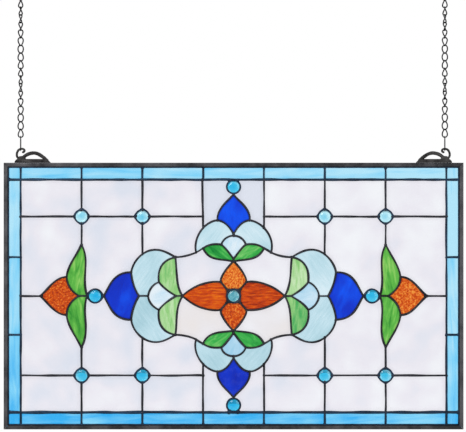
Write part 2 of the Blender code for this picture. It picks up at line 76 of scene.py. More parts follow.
# Each glass has three tints, what white light keeps after it, and how they are laid out: streak is the
# share of long wisps, size the width of a wisp or hammer mark, length how many times longer a wisp is,
# edge the share of the colour left under painted shade beside the lead, and rim how far from the lead it
# reaches
looks = {
    "blueBorder": {
        "slot": "border_blue_glass",
        "deep": (0.03, 0.45, 0.93), "mid": (0.22, 0.68, 0.99), "pale": (0.46, 0.82, 1.0),
        "streak": 0.55, "size": 6.0, "length": 9.0, "edge": 0.84, "rim": 3.0, "relief": 0.10,
    },
    "clearSheet": {
        "slot": "clear_glass",
        "deep": (0.76, 0.80, 0.90), "mid": (0.87, 0.855, 0.925), "pale": (0.93, 0.945, 0.99),
        "streak": 0.15, "size": 14.0, "length": 3.0, "edge": 0.92, "rim": 9.0, "relief": 0.05,
    },
    "clearWarm": {
        "slot": "clear_glass",
        "deep": (0.87, 0.82, 0.80), "mid": (0.865, 0.84, 0.865), "pale": (0.90, 0.90, 0.95),
        "streak": 0.15, "size": 14.0, "length": 3.0, "edge": 0.92, "rim": 9.0, "relief": 0.05,
    },
    "orangeStreaky": {
        "slot": "orange_glass",
        "deep": (0.30, 0.014, 0.0), "mid": (0.67, 0.070, 0.0), "pale": (0.92, 0.22, 0.0),
        "streak": 0.92, "size": 1.15, "length": 7.5, "edge": 0.66, "rim": 3.0, "relief": 0.25,
    },
    "orangeHammered": {
        "slot": "orange_glass",
        "deep": (0.33, 0.018, 0.0), "mid": (0.70, 0.085, 0.0), "pale": (1.0, 0.40, 0.06),
        "streak": 1.0, "size": 1.6, "length": 1.2, "edge": 0.68, "rim": 3.0, "relief": 0.35,
    },
    "leafBright": {
        "slot": "green_glass",
        "deep": (0.02, 0.27, 0.025), "mid": (0.13, 0.52, 0.07), "pale": (0.45, 0.77, 0.20),
        "streak": 0.8, "size": 4.0, "length": 5.0, "edge": 0.72, "rim": 3.5, "relief": 0.25,
    },
    "leafCool": {
        "slot": "green_glass",
        "deep": (0.0, 0.23, 0.030), "mid": (0.045, 0.46, 0.075), "pale": (0.28, 0.70, 0.20),
        "streak": 0.7, "size": 3.5, "length": 4.0, "edge": 0.72, "rim": 3.0, "relief": 0.25,
    },
    "leafPale": {
        "slot": "light_green_glass",
        "deep": (0.08, 0.45, 0.12), "mid": (0.32, 0.66, 0.23), "pale": (0.58, 0.82, 0.48),
        "streak": 0.75, "size": 3.0, "length": 5.0, "edge": 0.82, "rim": 3.0, "relief": 0.2,
    },
    "cobalt": {
        "slot": "cobalt_glass",
        "deep": (0.0, 0.012, 0.38), "mid": (0.0, 0.034, 0.64), "pale": (0.0, 0.10, 1.0),
        "streak": 0.4, "size": 9.0, "length": 3.0, "edge": 0.55, "rim": 3.5, "relief": 0.1,
    },
    "aquaRippled": {
        "slot": "aqua_glass",
        "deep": (0.40, 0.64, 0.73), "mid": (0.54, 0.77, 0.865), "pale": (0.72, 0.89, 0.97),
        "streak": 0.35, "size": 2.2, "length": 7.0, "edge": 0.88, "rim": 3.0, "relief": 0.25,
    },
    "iceLens": {
        "slot": "ice_glass",
        "deep": (0.36, 0.66, 0.86), "mid": (0.58, 0.80, 0.95), "pale": (0.82, 0.92, 0.99),
        "streak": 0.5, "size": 6.0, "length": 3.0, "edge": 0.85, "rim": 3.0, "relief": 0.1,
    },
    "turquoiseGem": {
        "slot": "turquoise_glass",
        "deep": (0.0, 0.42, 0.82), "mid": (0.05, 0.56, 0.84), "pale": (0.48, 0.84, 0.94),
        "streak": 0.3, "size": 6.0, "length": 1.0, "edge": 1.0, "rim": 3.0, "relief": 0.0,
    },
    "tealGem": {
        "slot": "turquoise_glass",
        "deep": (0.05, 0.30, 0.40), "mid": (0.13, 0.44, 0.53), "pale": (0.42, 0.70, 0.74),
        "streak": 0.9, "size": 3.0, "length": 1.0, "edge": 1.0, "rim": 3.0, "relief": 0.0,
    },
}

glass = {
    "roughness": 0.06,
    "ior": 1.48,
    "specular": 0.08,
    "cloudScale": 16.0,
    "deepAt": 0.28,        # where on the mix of wisps and clouds each tint lies
    "midAt": 0.5,
    "paleAt": 0.72,
    "underLead": 1.5,      # how much of a pane's rim the lead hides
    "bump": 0.1,
    "bumpHeight": 0.4,
}

metals = {
    "frameMetal": {
        "slot": "frame_metal",
        "dark": (0.038, 0.039, 0.043), "light": (0.122, 0.121, 0.130), "rough": (0.42, 0.60),
        "metallic": 0.85, "grain": 0.35, "bump": 0.10,
    },
    "blackLead": {
        "slot": "lead",
        "dark": (0.014, 0.014, 0.019), "light": (0.050, 0.050, 0.062), "rough": (0.32, 0.55),
        "metallic": 0.7, "grain": 0.5, "bump": 0.20,
    },
    "navyLead": {
        "slot": "lead",
        "dark": (0.008, 0.022, 0.046), "light": (0.024, 0.060, 0.120), "rough": (0.32, 0.55),
        "metallic": 0.7, "grain": 0.5, "bump": 0.20,
    },
    "castMetal": {
        "slot": "cast_metal",
        "dark": (0.018, 0.017, 0.017), "light": (0.088, 0.084, 0.082), "rough": (0.45, 0.65),
        "metallic": 0.8, "grain": 0.6, "bump": 0.45,
    },
    "chainMetal": {
        "slot": "chain_metal",
        "dark": (0.010, 0.010, 0.011), "light": (0.050, 0.051, 0.054), "rough": (0.30, 0.50),
        "metallic": 0.9, "grain": 0.8, "bump": 0.12,
    },
}

metal = {
    "wearScale": 90.0,
    "fineScale": 650.0,
    "fineShare": 0.35,
    "darkAt": 0.36,
    "lightAt": 0.66,
    "bumpHeight": 0.6,
}


def addObject(name, data):
    added = bpy.data.objects.new(name, data)
    bpy.context.scene.collection.objects.link(added)
    return added


def addNode(tree, kind, at, inputs=None, **settings):
    node = tree.nodes.new("ShaderNode" + kind)
    node.location = at
    for name, value in settings.items():
        setattr(node, name, value)
    for name, value in (inputs or {}).items():   # another node's output, or a plain value
        if isinstance(value, bpy.types.NodeSocket):
            tree.links.new(value, node.inputs[name])
        else:
            node.inputs[name].default_value = value
    return node


def addRamp(tree, at, factor, *stops):
    ramp = addNode(tree, "ValToRGB", at, {"Fac": factor})
    elements = ramp.color_ramp.elements
    for element, (position, tint) in zip(elements, (stops[0], stops[-1])):
        element.position = position
        element.color = (*tint, 1.0)
    for position, tint in stops[1:-1]:
        elements.new(position).color = (*tint, 1.0)
    return ramp.outputs["Color"]


def newMaterial(name):
    material = bpy.data.materials.new(name)
    material.use_nodes = True
    tree = material.node_tree
    return material, tree, tree.nodes["Principled BSDF"]


def addBump(tree, shader, height, strength, distance):
    bump = addNode(tree, "Bump", (-280, -250), {
        "Height": height, "Strength": strength, "Distance": distance * mm,
    })
    tree.links.new(bump.outputs["Normal"], shader.inputs["Normal"])


def glassMaterial(name):
    look = looks[name]
    material, tree, shader = newMaterial(name)
    shader.inputs["Roughness"].default_value = glass["roughness"]
    shader.inputs["IOR"].default_value = glass["ior"]
    shader.inputs["Specular IOR Level"].default_value = glass["specular"]
    shader.inputs["Transmission Weight"].default_value = 1.0
    flow = addNode(tree, "Attribute", (-1500, 200), attribute_name="flow").outputs["Vector"]
    fine = 0.5 / (look["size"] * mm)
    streaks = addNode(tree, "Mapping", (-1300, 350), {
        "Vector": flow, "Scale": (fine / look["length"], fine, fine),   # long along the flow, fine across it
    })
    wisps = addNode(tree, "TexNoise", (-1100, 350), {
        "Vector": streaks.outputs["Vector"], "Scale": 1.0,
        "Detail": 4.0, "Roughness": 0.55, "Distortion": 0.5,
    })
    clouds = addNode(tree, "TexNoise", (-1100, 50), {
        "Vector": flow, "Scale": glass["cloudScale"], "Detail": 1.5,
    })
    blend = addNode(tree, "Mix", (-900, 250), {
        0: look["streak"], 2: clouds.outputs["Fac"], 3: wisps.outputs["Fac"],
    }, data_type="FLOAT")
    # The shade attribute moves a piece toward its pale or deep tint: partly painted light, paler towards the
    # top and the right, partly tone that differs from piece to piece, and on the gems a deeper thick middle
    shade = addNode(tree, "Attribute", (-1100, -200), attribute_name="shade")
    shifted = addNode(tree, "Math", (-720, 150), {
        0: blend.outputs[0], 1: shade.outputs["Fac"],
    }, operation="ADD")
    colour = addRamp(
        tree, (-560, 200), shifted.outputs[0],
        (glass["deepAt"], look["deep"]), (glass["midAt"], look["mid"]), (glass["paleAt"], look["pale"]),
    )
    # Painted shade beside the lead: within rim millimetres of the lead the colour is scaled down to the
    # look's edge share
    edge = addNode(tree, "Attribute", (-1100, -400), attribute_name="edge")
    paintedLeadShade = addNode(tree, "MapRange", (-720, -250), {
        "Value": edge.outputs["Fac"], "To Min": look["edge"], "To Max": 1.0,
        "From Min": glass["underLead"], "From Max": glass["underLead"] + look["rim"],
    }, interpolation_type="SMOOTHSTEP")
    tint = addNode(tree, "VectorMath", (-280, 100), {
        0: colour, "Scale": paintedLeadShade.outputs["Result"],
    }, operation="SCALE")
    tree.links.new(tint.outputs["Vector"], shader.inputs["Base Color"])
    addBump(tree, shader, wisps.outputs["Fac"], look["relief"] + glass["bump"], glass["bumpHeight"])
    material.diffuse_color = (*look["mid"], 1.0)
    return material


def metalMaterial(name):
    look = metals[name]
    material, tree, shader = newMaterial(name)
    shader.inputs["Metallic"].default_value = look["metallic"]
    spot = addNode(tree, "TexCoord", (-1300, 100)).outputs["Object"]
    wear = addNode(tree, "TexNoise", (-1050, 200), {
        "Vector": spot, "Scale": metal["wearScale"] * look["grain"], "Detail": 8.0, "Roughness": 0.65,
    })
    fine = addNode(tree, "TexNoise", (-1050, -150), {
        "Vector": spot, "Scale": metal["fineScale"], "Detail": 4.0,
    })
    # The shade attribute, carried only by the frame's bars, is painted light: a bar lighter or darker as
    # light falls on its side of the frame
    shade = addNode(tree, "Attribute", (-1050, 450), attribute_name="shade")
    shifted = addNode(tree, "Math", (-880, 300), {
        0: wear.outputs["Fac"], 1: shade.outputs["Fac"],
    }, operation="ADD")
    colour = addRamp(
        tree, (-750, 200), shifted.outputs[0],
        (metal["darkAt"], look["dark"]), (metal["lightAt"], look["light"]),
    )
    tree.links.new(colour, shader.inputs["Base Color"])
    rough = addNode(tree, "MapRange", (-750, -100), {
        "Value": fine.outputs["Fac"], "From Min": 0.3, "From Max": 0.7,
        "To Min": look["rough"][0], "To Max": look["rough"][1],
    })
    tree.links.new(rough.outputs["Result"], shader.inputs["Roughness"])
    height = addNode(tree, "Mix", (-520, -350), {
        0: metal["fineShare"], 2: wear.outputs["Fac"], 3: fine.outputs["Fac"],
    }, data_type="FLOAT")
    addBump(tree, shader, height.outputs[0], look["bump"], metal["bumpHeight"])
    material.diffuse_color = (*look["light"], 1.0)
    return material


finishes = {name: glassMaterial(name) for name in looks}
finishes.update({name: metalMaterial(name) for name in metals})


def place(name, work, finish, standsFor, smooth=True):
    mesh = bpy.data.meshes.new(name)
    work.to_mesh(mesh)
    work.free()
    mesh.transform(Matrix.Translation(middle) @ Matrix.Scale(mm, 4))
    mesh.materials.append(finishes[finish])
    mesh.polygons.foreach_set("use_smooth", [smooth] * len(mesh.polygons))
    piece = addObject(name, mesh)
    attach(piece, "root")
    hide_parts(standsFor)


# A line of the drawing is a run of flat points (x, z), drawn once for the upper right quarter

def bend(*corners, steps=14):
    points = interpolate_bezier(*[Vector((x, z, 0.0)) for x, z in corners], steps + 1)
    return [Vector((p.x * panel["stretch"][0], p.y * panel["stretch"][1])) for p in points]


def spots(*pairs):
    return [Vector(pair) for pair in pairs]


def back(points):
    return points[::-1]


def flip(points, signX, signZ):
    return [Vector((p.x * signX, p.y * signZ)) for p in points]


def join(*runs, nearest=0.01):
    loop = []
    for run in runs:
        for point in run:
            if not loop or (point - loop[-1]).length > nearest:
                loop.append(point)
    if (loop[0] - loop[-1]).length < nearest:
        loop.pop()
    return loop


def arc(x, z, radius, fromTurn, toTurn, steps=12):
    turns = [radians(fromTurn + (toTurn - fromTurn) * step / steps) for step in range(steps + 1)]
    return [Vector((x + radius * cos(turn), z + radius * sin(turn))) for turn in turns]


def heightAt(run, x):   # where a run crosses an upright line
    for a, b in zip(run, run[1:]):
        if min(a.x, b.x) <= x <= max(a.x, b.x) and a.x != b.x:
            return a.y + (b.y - a.y) * (x - a.x) / (b.x - a.x)


orangeEdge = bend((370.5, 0), (354, 13), (343, 36), (320, 36.5))
outerLeafUpper = bend((291.5, 98.5), (300, 78), (317, 60), (319.6, 36.5))
outerLeafLower = bend((319.6, 36.5), (319, 20), (309, 8), (296, 0))
outerLeafInner = bend((291.5, 98.5), (273, 68), (292, 33), (280.3, 0), steps=20)
flameOuter = bend((248.5, 0), (235, 25), (228, 45.5), (196, 45.5), steps=18)
flameInner = bend((196, 45.5), (195, 30), (189, 14), (181, 0))
petalRise = bend((196, 45.5), (192.4, 67.4), (172.5, 88.3), (150, 88.2), steps=18)
petalOuter = join(petalRise, bend((150, 88.2), (135, 88.3), (123, 80.5), (111.3, 74), steps=10))
lensArc = bend((163.6, 0), (162, 12), (154, 22), (143, 26.5), steps=10)
innerLeafOuter = bend((111.3, 74), (136, 70), (146, 51), (143, 26.5), steps=16)
innerLeafLower = bend((143, 26.5), (135, 15), (122, 7), (110, 0), steps=10)
innerLeafInner = bend((111.3, 74), (107.6, 49), (111.5, 21), (97.5, 0), steps=18)
shoulder = bend((111.3, 74), (98, 74), (84, 77), (71.9, 83), steps=10)
topLeafTip = bend((71.9, 83), (68, 85.5), (63.5, 88.5), (58.5, 91), steps=4)
topLeafUpper = bend((58.5, 91), (48, 99), (35, 100), (23.3, 98.3))
topLeafInner = bend((23.3, 98.3), (14, 91), (7, 80), (0, 71), steps=10)
topLeafLower = bend((58.5, 91), (46, 65), (23, 71), (0, 66), steps=16)
topPetalRise = bend((71.9, 83), (76.8, 102), (68.2, 121.6), (54, 134), steps=16)
topPetalOuter = join(topPetalRise, bend((54, 134), (47.3, 139.4), (39, 144), (30.8, 144.3), steps=8))
topPetalInner = bend((30.8, 144.3), (16, 143), (7, 130), (0, 118.3))
topLensArc = bend((23.3, 98.3), (21.4, 107.6), (11, 115.2), (0, 114.8))
topFlame = join(
    bend((30.8, 144.3), (32.6, 153.5), (28.2, 162.6), (22.2, 170.5), steps=10),
    bend((22.2, 170.5), (15.6, 179.2), (5.8, 186.2), (0, 194.2), steps=10),
)
flowerTopEdge = bend((0, 66), (7, 61.5), (27, 36.5), (24.6, 26.8), steps=16)
flowerSideEdge = bend((98, 0), (79, 18.6), (52, 29.5), (24.6, 26.8), steps=18)
flowerCorner = [flowerSideEdge[-1], Vector((panel["centreBlock"], panel["centreBlock"]))]

panes = {
    "clearGrid": 9.0,        # the spacing of the points inside a pane
    "borderGrid": 6.0,
    "flowerGrid": 3.0,
    "rowRise": 0.866,        # from one row of points to the next, as a share of the grid
    "waveScale": 0.11,
    "waveFade": 6.0,         # the waves die out this near the lead
    "drift": 5.0,            # how far apart in the noise two panes may lie
    "crease": 0.6,
    "toneSpread": 0.03,
}


def hoop(count, start=0.0):   # even turns round a circle
    return [2 * pi * (index + start) / count for index in range(count)]


def insideLoop(point, loop):
    inside = False
    for a, b in zip(loop, loop[1:] + loop[:1]):
        if (a.y > point.y) != (b.y > point.y) and point.x < a.x + (b.x - a.x) * (point.y - a.y) / (b.y - a.y):
            inside = not inside
    return inside


def edgeDistance(point, loop):
    nearest = inf
    for a, b in zip(loop, loop[1:] + loop[:1]):
        run = b - a
        part = max(0.0, min(1.0, (point - a).dot(run) / max(run.length_squared, 1e-9)))
        nearest = min(nearest, (point - a - run * part).length)
    return nearest


def innerPoints(loop, grid):   # staggered rows that keep clear of the edge
    highX, highZ = max(p.x for p in loop), max(p.y for p in loop)
    lowX, z = min(p.x for p in loop), min(p.y for p in loop) + grid / 2
    inner = []
    shift = 0.5
    while z < highZ:
        x = lowX + grid * shift
        while x < highX:
            point = Vector((x, z))
            if insideLoop(point, loop) and edgeDistance(point, loop) > grid * 0.5:
                inner.append(point)
            x += grid
        z += grid * panes["rowRise"]
        shift = 1.5 - shift
    return inner


def startGlass():
    work = bmesh.new()
    layers = work.verts.layers
    return work, layers.float_vector.new("flow"), layers.float.new("edge"), layers.float.new("shade")


def makePane(name, loop, finish, standsFor, angle, shade, grid):
    edges = [(index, (index + 1) % len(loop)) for index in range(len(loop))]
    points, ties, faces, *rest = delaunay_2d_cdt(loop + innerPoints(loop, grid), edges, [], 1, 0.001)
    work, flow, edge, tone = startGlass()
    drift = Vector([random.uniform(-panes["drift"], panes["drift"]) for axis in range(3)])
    turn = radians(angle)
    half = panel["glassThickness"] / 2
    sheets = []
    for face in (-1, 1):
        sheet = []
        for point in points:
            distance = edgeDistance(point, loop)
            wave = noise(Vector((point.x, point.y, face * 9.0)) * panes["waveScale"] + drift)
            rise = looks[finish]["relief"] * wave * min(1.0, distance / panes["waveFade"])
            vert = work.verts.new((point.x, face * (half + rise), point.y))
            along = point.x * cos(turn) + point.y * sin(turn)
            across = point.y * cos(turn) - point.x * sin(turn)
            vert[flow] = Vector((along * mm, across * mm, 0.0)) + drift
            vert[edge] = distance
            vert[tone] = shade
            sheet.append(vert)
        sheets.append(sheet)
    front, rear = sheets
    sides = []
    for corners in faces:
        work.faces.new([front[index] for index in corners])
        work.faces.new([rear[index] for index in reversed(corners)])
        sides.extend(zip(corners, corners[1:] + corners[:1]))
    shared = set(sides)
    for a, b in sides:
        if (b, a) not in shared:   # no face on its other side, so this is the rim
            work.faces.new((front[b], front[a], rear[a], rear[b]))
    bmesh.ops.recalc_face_normals(work, faces=work.faces)
    for line in work.edges:   # a crisp rim, so that the flat of the pane stays flat up to the lead
        line.smooth = line.calc_face_angle(0.0) < panes["crease"]
    place(name, work, finish, standsFor)


# Where the grid's lines meet the flowers
upright1, upright2, upright3, upright4 = panel["columns"]
row, borderZ = panel["row"], panel["borderZ"]
petalTop = heightAt(petalRise, upright2)
petalSide = heightAt(back(topPetalRise), upright1)
leafTop = outerLeafUpper[0].y


def clearLoops():
    lowPetal = [p for p in topPetalRise if p.y < petalSide or p.x > upright1]
    highPetal = [p for p in topPetalOuter if p.y > petalSide and p.x < upright1]
    nearPetal = [p for p in petalOuter if p.x < upright2]
    farPetal = [p for p in petalOuter if p.x > upright2]
    corner1, corner2 = spots((upright1, petalSide)), spots((upright2, petalTop))

    def ring2(start, end):
        return arc(upright2, row, ring, start, end)

    def ring3(start, end):
        return arc(upright3, row, ring, start, end)

    return {
        "a": join(
            arc(0, panel["topBead"], ring, -90, 84), spots((3, borderZ), (upright1, borderZ)),
            corner1, highPetal, topFlame,
        ),
        "b": join(
            spots((upright1, row), (upright2 - ring, row)), ring2(180, 90),
            spots((upright2, borderZ), (upright1, borderZ)),
        ),
        "c": join(ring2(90, 0), ring3(180, 90), spots((upright3, borderZ), (upright2, borderZ))),
        "d": join(ring3(90, 0), spots((upright4, row), (upright4, borderZ), (upright3, borderZ))),
        "e": join(
            spots((upright1, row)), corner1, back(lowPetal), back(shoulder), back(nearPetal), corner2,
            ring2(270, 180),
        ),
        "f": join(
            corner2, back(farPetal), back(flameOuter), back(arc(panel["sideBead"], 0, ring, 0, 180)),
            back(outerLeafInner), ring3(270, 180), ring2(360, 270),
        ),
        "g": join(outerLeafUpper, back(orangeEdge), spots((upright4, 0), (upright4, row)), ring3(360, 270)),
        "h": join(
            innerLeafInner, flowerSideEdge, back(flowerTopEdge), back(topLeafLower), back(topLeafTip),
            back(shoulder),
        ),
    }


clearGlass = {
    # Painted light: clear panes paler to the right and towards the top
    "paintedLightRight": 0.04,
    "paintedLightUp": 0.02,
    "besideTopFlame": -0.4,
}


def makeClearGlass():
    loops = clearLoops()
    for side, level in quarters:
        for label, loop in loops.items():
            shade = random.uniform(-panes["toneSpread"], panes["toneSpread"])
            shade += clearGlass["paintedLightRight"] * side + clearGlass["paintedLightUp"] * level
            if label == "a" and level > 0:
                shade += clearGlass["besideTopFlame"]
            makePane(
                f"clearPane.{levelNames[level]}.{sideNames[side]}.{label}", flip(loop, side, level),
                "clearWarm" if label == "h" and level < 0 else "clearSheet", "clear_glass_" + sideNames[side],
                random.uniform(0, 180), shade, panes["clearGrid"],
            )


borderGlass = {
    "rebate": 0.5,         # how far a tile stays off the bottom of the frame's groove
    # Painted light: tiles paler towards the top and towards the right
    "paintedLightUp": 0.12,
    "paintedLightRight": 0.08,
    "sideTone": 0.08,
    "tilt": 7.0,           # degrees that the streaks stray from the tile's length
}

# Where a piece is paler (above 0) or deeper than its look: partly painted light, upper and right pieces paler
# and lower and left ones deeper, partly tone that differs from piece to piece
paintedLightAndTones = {
    "sideTip.right": 0.03, "sideTip.left": -0.05, "sideFlower.right": -0.06,
    "endFlower.top": 0.07, "endFlower.bottom": -0.03,
    "outerLeaf.upper.left": -0.05, "outerLeaf.lower.left": -0.06, "outerLeaf.lower.right": -0.02,
    "innerLeaf.upper.right": 0.11, "innerLeaf.lower.left": 0.07, "innerLeaf.lower.right": -0.09,
    "endLeaf.top.left": -0.03, "endLeaf.top.right": 0.04,
    "endLeaf.bottom.left": 0.05, "endLeaf.bottom.right": -0.05,
    "sidePetal.upper.left": 0.02, "sidePetal.upper.right": 0.07, "sidePetal.lower.left": -0.06,
    "endPetal.top.left": 0.07, "endPetal.top.right": 0.06,
    "endPetal.bottom.left": -0.07, "endPetal.bottom.right": -0.06,
    "sideFlame.right": 0.05, "endFlame.top": 0.12, "endFlame.bottom": -0.03,
    "sideLens.left": 0.14, "sideLens.right": -0.06, "endLens.top": 0.08, "endLens.bottom": -0.2,
    "borderTile.10": -0.04, "borderTile.13": 0.04, "borderTile.15": 0.10, "borderTile.19": 0.02,
    "borderTile.20": 0.05, "borderTile.21": 0.05, "borderTile.22": -0.09,
}


def makeBorderGlass():
    edgeX = panel["width"] / 2 - frameBar["wall"] - borderGlass["rebate"]
    edgeZ = panel["height"] / 2 - frameBar["wall"] - borderGlass["rebate"]
    lines = [-edgeX, *[-x for x in reversed(panel["columns"])], *panel["columns"], edgeX]
    rows = [-borderZ, -panel["sideRow"], panel["sideRow"], borderZ]
    tiles = []
    for low, high in zip(lines, lines[1:]):
        for level in (1, -1):
            tiles.append((low, high, *sorted((level * borderZ, level * edgeZ))))
    for side in (-1, 1):
        for low, high in zip(rows, rows[1:]):
            tiles.append((*sorted((side * upright4, side * edgeX)), low, high))
    for index, (lowX, highX, lowZ, highZ) in enumerate(tiles):
        name = f"borderTile.{index + 1:02d}"
        x, z = (lowX + highX) / 2, (lowZ + highZ) / 2
        shade = borderGlass["paintedLightUp"] * z / borderZ + borderGlass["paintedLightRight"] * x / upright4
        shade += random.uniform(-panes["toneSpread"], panes["toneSpread"]) + paintedLightAndTones.get(name, 0.0)
        if abs(z) < borderZ:
            shade += borderGlass["sideTone"]
        angle = random.uniform(-borderGlass["tilt"], borderGlass["tilt"])
        if highZ - lowZ > highX - lowX:
            angle += 90
        loop = spots((lowX, lowZ), (highX, lowZ), (highX, highZ), (lowX, highZ))
        makePane(name, loop, "blueBorder", "border_glass", angle, shade, panes["borderGrid"])


def makeFlowerPane(name, loop, look, node, angle):
    makePane(name, loop, look, node, angle, paintedLightAndTones.get(name, 0.0), panes["flowerGrid"])


def mirrorWhole(half, signX, signZ):
    return join(half, back(flip(half, signX, signZ)))


def makeFlowerGlass():
    for side in (-1, 1):
        word = sideNames[side]
        for name, half, look, node, angle in (
            ("sideTip.", join(orangeEdge, outerLeafLower), "orangeHammered", "side_tip_", 20),
            ("sideFlame.", join(flameOuter, flameInner), "cobalt", "side_flame_", 70),
            ("sideLens.", join(lensArc, innerLeafLower), "iceLens", "side_lens_", 10),
            ("sideFlower.", join(flowerSideEdge, flowerCorner), "orangeStreaky", "flower_", 0),
        ):
            makeFlowerPane(name + word, mirrorWhole(flip(half, side, 1), 1, -1), look, node + word, angle)
    for level in (1, -1):
        word = endNames[level]
        for name, half, look, node, angle in (
            ("endFlame.", join(back(topFlame), topPetalInner), "cobalt", "flame_", 90),
            ("endLens.", join(back(topLensArc), topLeafInner), "iceLens", "lens_", 80),
            ("endFlower.", join(flowerTopEdge, flowerCorner), "orangeHammered", "flower_", 90),
        ):
            makeFlowerPane(name + word, mirrorWhole(flip(half, 1, level), -1, 1), look, node + word, angle)
    outerLeaf = join(outerLeafUpper, outerLeafLower, back(outerLeafInner))
    sidePetal = join(petalOuter, innerLeafOuter, back(lensArc), back(flameInner))
    innerLeaf = join(innerLeafOuter, innerLeafLower, back(innerLeafInner))
    endPetal = join(topPetalOuter, topPetalInner, back(topLensArc), back(topLeafUpper), back(topLeafTip))
    endLeaf = join(topLeafUpper, topLeafInner, back(topLeafLower))
    for side, level in quarters:
        quarter = levelNames[level] + "." + sideNames[side]
        end = endNames[level] + "." + sideNames[side]
        for name, word, loop, look, node, angle in (
            ("outerLeaf.", quarter, outerLeaf, "leafBright", "outer_leaf_", 100),
            ("sidePetal.", quarter, sidePetal, "aquaRippled", "side_petal_", 125),
            ("innerLeaf.", quarter, innerLeaf, "leafPale", "inner_leaf_", 95),
            ("endPetal.", end, endPetal, "aquaRippled", "petal_", 130),
            ("endLeaf.", end, endLeaf, "leafCool", "leaf_", 35),
        ):
            makeFlowerPane(
                name + word, flip(loop, side, level), look,
                node + word.replace(".", "_"), side * level * angle,
            )


gems = {
    "radius": 11.6,
    "front": 4.9,          # how far the dome stands out
    "girdle": 1.3,         # where the dome starts
    "back": [(0.0, 1.6), (0.6, 1.6), (0.92, 1.5), (1.0, 1.0), (1.0, -1.0)],   # share of the radius, depth
    "domeSteps": 9,
    "sides": 32,
    "ringInner": 10.6,
    "ringOuter": 14.8,
    "ringSides": 48,
    "ringDepth": 6.6,
    "ringLump": 0.5,
    "flare": 1.9,          # how far solder is drawn out along the lines
    "outOfRound": 0.02,
    "middleTone": 0.10,    # the thick middle is deeper
    "centreTone": -0.02,
    "sideTone": -0.06,
    "endTone": -0.05,
    # Painted light: the top gem paler than the bottom one
    "endPaintedLightUp": 0.04,
    "gridTone": 0.08,
    # Painted light: the upper gems paler than the lower ones
    "gridPaintedLightUp": 0.09,
    "outerTone": 0.04,
    # Painted light: the gems on the right paler than those on the left
    "paintedLightRight": 0.02,
}

ring = (gems["ringInner"] + gems["ringOuter"]) / 2

# Each gem: label, x, z, its node, tone, and how many corners its ring of lead has
beads = [("centre", 0.0, 0.0, "bead_centre", gems["centreTone"], 0)]
for side in (-1, 1):
    word, tone = sideNames[side], gems["sideTone"] + gems["paintedLightRight"] * side
    beads.append((word, side * panel["sideBead"], 0.0, "bead_" + word, tone, 2))
    word, tone = endNames[side], gems["endTone"] + gems["endPaintedLightUp"] * side
    beads.append((word, 0.0, side * panel["topBead"], "bead_" + word, tone, 0))
for side, level in quarters:
    for x, column, more in ((upright2, "inner", 0.0), (upright3, "outer", gems["outerTone"])):
        word = f"{levelNames[level]}_{sideNames[side]}_{column}"
        tone = gems["gridTone"] + gems["gridPaintedLightUp"] * level + more + gems["paintedLightRight"] * side
        beads.append((word.replace("_", "."), side * x, level * row, "bead_" + word, tone, 4))


def makeBeads():
    profile = list(gems["back"])
    for step in range(gems["domeSteps"]):
        turn = pi / 2 * (step + 1) / gems["domeSteps"]
        profile.append((cos(turn), -gems["girdle"] - (gems["front"] - gems["girdle"]) * sin(turn)))
    sides = gems["sides"]
    drift = Vector((2.3, 4.1, 0.0))   # all are pressed from one batch, each turned its own way
    for label, x, z, node, tone, corners in beads:
        work, flow, edge, depth = startGlass()
        spin = random.uniform(0, 6)
        rings = []
        for reach, y in profile:
            verts = []
            for turn in hoop(sides if reach > 1e-6 else 1):   # one corner at the two poles
                radius = gems["radius"] * reach * (1 + gems["outOfRound"] * sin(2 * turn + x))
                vert = work.verts.new((x + radius * cos(turn), y, z + radius * sin(turn)))
                turned = Vector((radius * cos(turn + spin), radius * sin(turn + spin), 0.0))
                vert[flow] = turned * mm + drift
                vert[edge] = gems["radius"] * (1.0 - reach)
                vert[depth] = tone + gems["middleTone"] * (reach - 0.5)
                verts.append(vert)
            rings.append(verts)
        for ringA, ringB in zip(rings, rings[1:]):
            for index in range(sides):
                following = (index + 1) % sides
                quad = [ringA[index % len(ringA)], ringA[following % len(ringA)]]
                quad += [ringB[following % len(ringB)], ringB[index % len(ringB)]]
                work.faces.new(list(dict.fromkeys(quad)))   # three corners at the two poles
        bmesh.ops.recalc_face_normals(work, faces=work.faces)
        place("gem." + label, work, "tealGem" if label == "centre" else "turquoiseGem", node)


def evenPoints(points, step):
    lengths = [(b - a).length for a, b in zip(points, points[1:])]
    total = sum(lengths)
    count = max(2, round(total / step))
    spaced = []
    index = 0
    walked = 0.0
    for number in range(count + 1):
        goal = total * number / count
        while index < len(lengths) - 1 and walked + lengths[index] < goal:
            walked += lengths[index]
            index += 1
        part = (goal - walked) / max(lengths[index], 1e-9)
        spaced.append(points[index].lerp(points[index + 1], min(1.0, part)))
    return spaced


def joinRings(work, rings, closed=False):
    for ringA, ringB in zip(rings, rings[1:] + (rings[:1] if closed else [])):
        for index in range(len(ringA)):
            following = (index + 1) % len(ringA)
            work.faces.new((ringA[index], ringA[following], ringB[following], ringB[index]))


def closeBar(work, rings):
    joinRings(work, rings)
    work.faces.new(rings[0])
    work.faces.new(rings[-1])
    bmesh.ops.recalc_face_normals(work, faces=work.faces)


